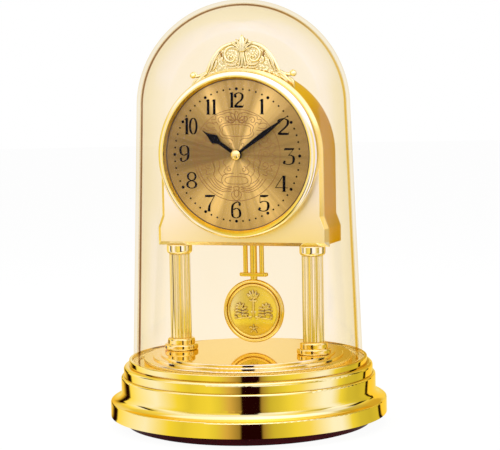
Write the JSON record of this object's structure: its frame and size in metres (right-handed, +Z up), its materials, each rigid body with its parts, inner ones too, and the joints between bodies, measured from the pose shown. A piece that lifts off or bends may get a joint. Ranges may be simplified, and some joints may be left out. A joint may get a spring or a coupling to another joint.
{
  "type": "desk pendulum clock",
  "caption": "Round-based desk clock under a glass dome: arched case with a round dial on fluted columns and a pendulum swinging between them.",
  "frame": {"origin": "centre of the round base on the surface that the clock stands on", "axes": "+Z up, dial facing -Y, +X to the right of someone looking at the dial"},
  "size_m": [0.165, 0.165, 0.2513],
  "materials": {
    "polished_gold": "polished gold plating, lacquered",
    "base_gold": "spun aluminium with polished gold plating",
    "floor_gold": "mirror-polished gold plating",
    "satin_gold": "fine satin gold, clear-coated",
    "dial_gold": "brushed champagne gold with printed figures",
    "plinth_maroon": "glossy dark maroon",
    "felt": "dense felt",
    "ballast_iron": "rough cast",
    "steel": "zinc-plated",
    "amber_glass": "clear blown glass, faint amber",
    "hand_black": "satin black",
    "back_plastic": "fine grained",
    "movement_plastic": "moulded",
    "cream_plastic": "moulded acetal",
    "wheel_brass": "stamped",
    "board_green": "laminate with a sealed chip",
    "copper_coil": "enamelled copper winding",
    "magnet": "sintered ferrite",
    "battery_sleeve": "printed sleeve"
  },
  "bodies": {
    "clock": {"base_felt": "felt", "base_plinth": "plinth_maroon", "base_ballast": "ballast_iron", "base_screws": "steel", "base_shell": "base_gold", "floor_plate": "floor_gold", "dome_seal": "felt", "column_base_left": "polished_gold", "column_base_right": "polished_gold", "column_shaft_left": "polished_gold", "column_shaft_right": "polished_gold", "column_capital_left": "polished_gold", "column_capital_right": "polished_gold", "tie_rods": "steel", "tie_rod_nuts": "steel", "case_front": "satin_gold", "case_body": "satin_gold", "case_back": "back_plastic", "case_back_screws": "steel", "crest": "polished_gold", "bezel": "polished_gold", "dial": "dial_gold", "dial_backing": "back_plastic", "dial_retainer": "steel", "movement_front": "movement_plastic", "movement_back": "movement_plastic", "train_bridge": "cream_plastic", "mounting_washer": "steel", "mounting_nut": "wheel_brass", "battery": "battery_sleeve", "battery_contacts": "steel", "circuit_board": "board_green", "motor_stator": "steel", "motor_coil": "copper_coil", "drive_coil": "copper_coil", "pendulum_pivot": "steel"},
    "dome": {"dome": "amber_glass"},
    "back_door": {"back_door": "back_plastic"},
    "pendulum": {"pendulum_hanger": "cream_plastic", "pendulum_magnet": "magnet", "pendulum_yoke": "polished_gold", "pendulum_side_rods": "polished_gold", "pendulum_centre_rod": "polished_gold", "pendulum_crossbar": "polished_gold", "bob_front_rim": "polished_gold", "bob_back_rim": "polished_gold", "bob_medallion": "polished_gold", "bob_back_disc": "polished_gold", "bob_weight": "ballast_iron"},
    "minute_hand": {"minute_hand": "hand_black", "minute_arbor": "cream_plastic", "hand_cap": "polished_gold"},
    "hour_hand": {"hour_hand": "hand_black", "hour_wheel": "cream_plastic"},
    "transfer_wheel": {"transfer_wheel": "cream_plastic"},
    "third_wheel": {"third_wheel": "cream_plastic"},
    "fourth_wheel": {"fourth_wheel": "cream_plastic"},
    "setting_knob": {"setting_knob": "cream_plastic"}
  },
  "joints": [
    {"name": "dome_lift", "type": "slide", "parent": "clock", "child": "dome", "axis": [0, 0, 1], "range_m": [0, 0.21]},
    {"name": "back_door_pull", "type": "slide", "parent": "clock", "child": "back_door", "axis": [0, 1, 0], "range_m": [0, 0.012]},
    {"name": "pendulum_swing", "type": "hinge", "parent": "clock", "child": "pendulum", "pos_m": [0, 0.0133, 0.168], "axis": [0, 1, 0], "range_deg": [-6, 6]},
    {"name": "minute_hand_turn", "type": "hinge", "parent": "clock", "child": "minute_hand", "pos_m": [0, 0, 0.1603], "axis": [0, 1, 0], "continuous": true},
    {"name": "hour_hand_turn", "type": "hinge", "parent": "clock", "child": "hour_hand", "pos_m": [0, 0, 0.1603], "axis": [0, 1, 0], "continuous": true},
    {"name": "transfer_wheel_turn", "type": "hinge", "parent": "clock", "child": "transfer_wheel", "pos_m": [-0.0096, 0, 0.1603], "axis": [0, 1, 0], "continuous": true},
    {"name": "setting_knob_turn", "type": "hinge", "parent": "clock", "child": "setting_knob", "pos_m": [-0.0192, 0, 0.1603], "axis": [0, 1, 0], "continuous": true},
    {"name": "third_wheel_turn", "type": "hinge", "parent": "clock", "child": "third_wheel", "pos_m": [0.0126, 0, 0.1603], "axis": [0, 1, 0], "continuous": true},
    {"name": "fourth_wheel_turn", "type": "hinge", "parent": "clock", "child": "fourth_wheel", "pos_m": [0.02101, 0, 0.16871], "axis": [0, 1, 0], "continuous": true}
  ],
  "couplings": [
    {"joint": "hour_hand_turn", "follows": "minute_hand_turn", "ratio": 0.083333},
    {"joint": "transfer_wheel_turn", "follows": "minute_hand_turn", "ratio": -0.33333},
    {"joint": "setting_knob_turn", "follows": "minute_hand_turn", "ratio": 1},
    {"joint": "third_wheel_turn", "follows": "minute_hand_turn", "ratio": -8},
    {"joint": "fourth_wheel_turn", "follows": "minute_hand_turn", "ratio": 60}
  ]
}
